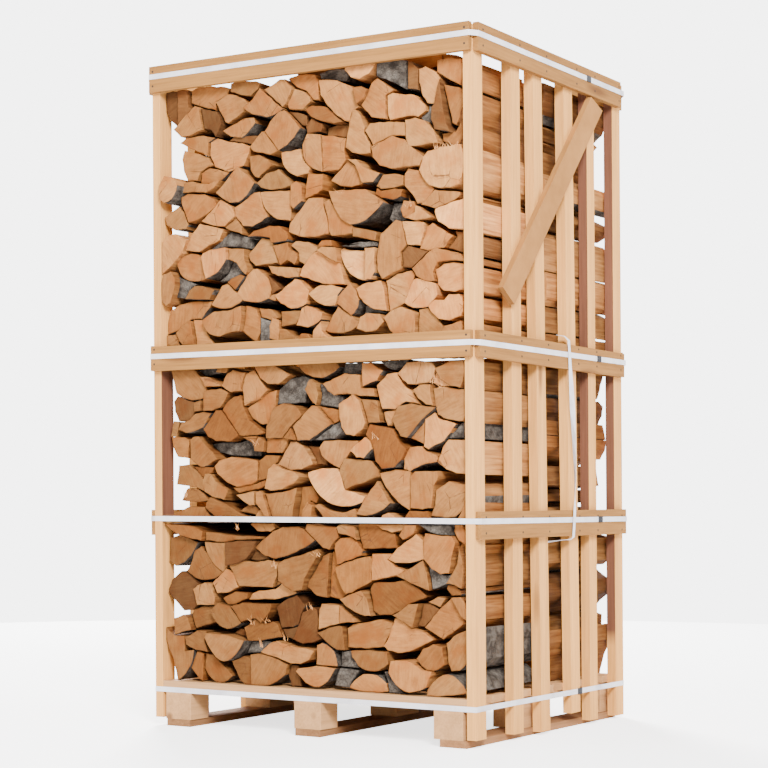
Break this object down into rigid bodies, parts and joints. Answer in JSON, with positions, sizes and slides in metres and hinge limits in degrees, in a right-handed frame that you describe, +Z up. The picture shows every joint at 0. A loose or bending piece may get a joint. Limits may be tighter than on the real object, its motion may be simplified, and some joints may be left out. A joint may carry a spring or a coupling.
{
  "type": "pallet of firewood",
  "caption": "Tall wooden crate on a block pallet, filled with split hardwood logs stacked ends outward behind nailed rails and slats, bound with plastic strapping.",
  "frame": {"origin": "on the floor, at the middle of the underside of the pallet's middle runner", "axes": "+Z up; -Y towards the open front where the log ends show; +X towards the side with the brace"},
  "size_m": [1.2264, 1.0356, 2.0881],
  "materials": {
    "firewood": "split and sawn beech with grey bark, dry and matte",
    "stick_wood": "rough-sawn pale softwood",
    "rail_wood": "rough-sawn yellow softwood board",
    "pallet_wood": "rough-sawn pallet softwood, a little soiled",
    "strap_plastic": "white woven-look strapping, slightly glossy",
    "clip_steel": "dark oiled steel"
  },
  "bodies": {
    "root": {"runner_left": "pallet_wood", "runner_middle": "pallet_wood", "runner_right": "pallet_wood", "block_front_left": "pallet_wood", "block_middle_left": "pallet_wood", "block_back_left": "pallet_wood", "block_front_middle": "pallet_wood", "block_middle_middle": "pallet_wood", "block_back_middle": "pallet_wood", "block_front_right": "pallet_wood", "block_middle_right": "pallet_wood", "block_back_right": "pallet_wood", "bearer_left": "pallet_wood", "bearer_middle": "pallet_wood", "bearer_right": "pallet_wood", "deck_board_1": "pallet_wood", "deck_board_2": "pallet_wood", "deck_board_3": "pallet_wood", "deck_board_4": "pallet_wood", "deck_board_5": "pallet_wood", "deck_board_6": "pallet_wood", "deck_board_7": "pallet_wood", "post_front_left": "stick_wood", "post_front_right": "stick_wood", "post_back_left": "stick_wood", "post_back_right": "stick_wood", "slat_left_1": "stick_wood", "slat_left_2": "stick_wood", "slat_left_3": "stick_wood", "slat_left_4": "stick_wood", "slat_right_1": "stick_wood", "slat_right_2": "stick_wood", "slat_right_3": "stick_wood", "slat_right_4": "stick_wood", "rail_left_top": "rail_wood", "rail_left_middle": "rail_wood", "rail_left_lower": "rail_wood", "rail_right_top": "rail_wood", "rail_right_middle": "rail_wood", "rail_right_lower": "rail_wood", "rail_front_top": "rail_wood", "rail_front_middle": "rail_wood", "rail_back_top": "rail_wood", "rail_back_middle": "rail_wood", "brace_right": "rail_wood", "strap_top": "strap_plastic", "strap_middle": "strap_plastic", "strap_lower": "strap_plastic", "strap_base": "strap_plastic", "strap_tail": "strap_plastic", "clip_top": "clip_steel", "clip_middle": "clip_steel", "clip_lower": "clip_steel", "clip_base": "clip_steel", "logs_front_tier": "firewood", "logs_back_tier": "firewood"}
  },
  "joints": []
}
